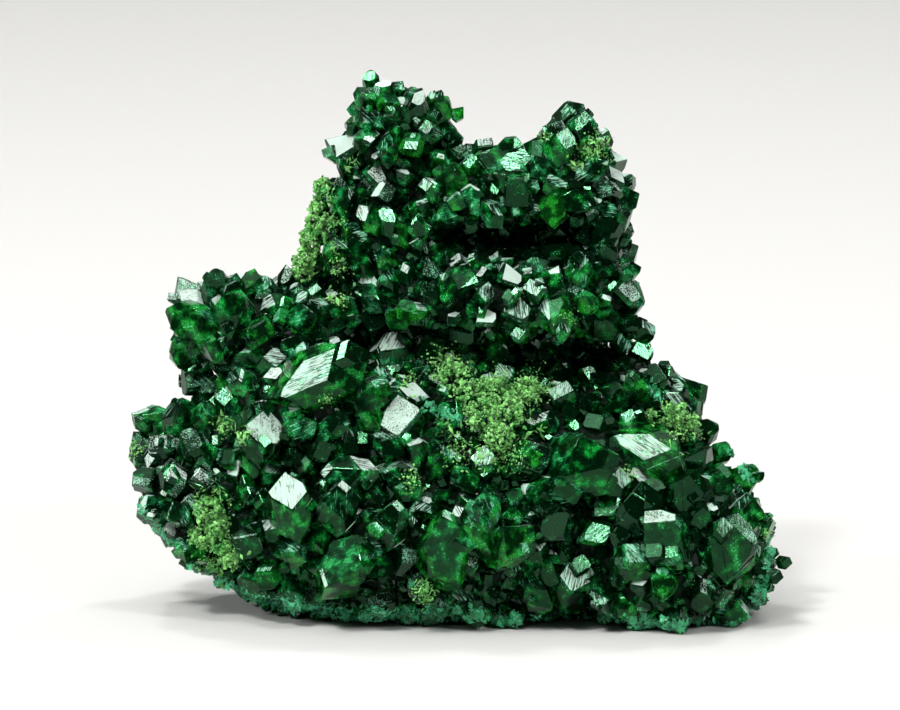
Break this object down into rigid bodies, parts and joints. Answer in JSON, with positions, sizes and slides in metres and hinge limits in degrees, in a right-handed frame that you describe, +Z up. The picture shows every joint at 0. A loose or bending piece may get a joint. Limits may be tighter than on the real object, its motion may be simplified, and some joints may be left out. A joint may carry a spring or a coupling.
{
  "type": "dioptase crystal cluster",
  "caption": "A free-standing cluster of intergrown emerald-green dioptase crystals, a notched tower on a wide foot, crusted with green malachite, flat underneath so that it stands on a shelf.",
  "frame": {"origin": "middle of the flat underside, at the left-right middle of the cluster, on the surface that it stands on", "axes": "+Z up from the flat underside, +X to the viewer's right along the cluster's width, -Y towards the viewer who sees the crystal side"},
  "size_m": [0.0657, 0.0361, 0.0535],
  "materials": {
    "dioptase": "deep emerald green crystal, glassy faces with growth steps and frosted pale edges",
    "malachite": "matt granular crust"
  },
  "bodies": {
    "root": {"dioptase_cluster": "dioptase", "malachite_slope": "malachite", "malachite_wall": "malachite", "malachite_foot": "malachite", "malachite_shoulder": "malachite"}
  },
  "joints": []
}
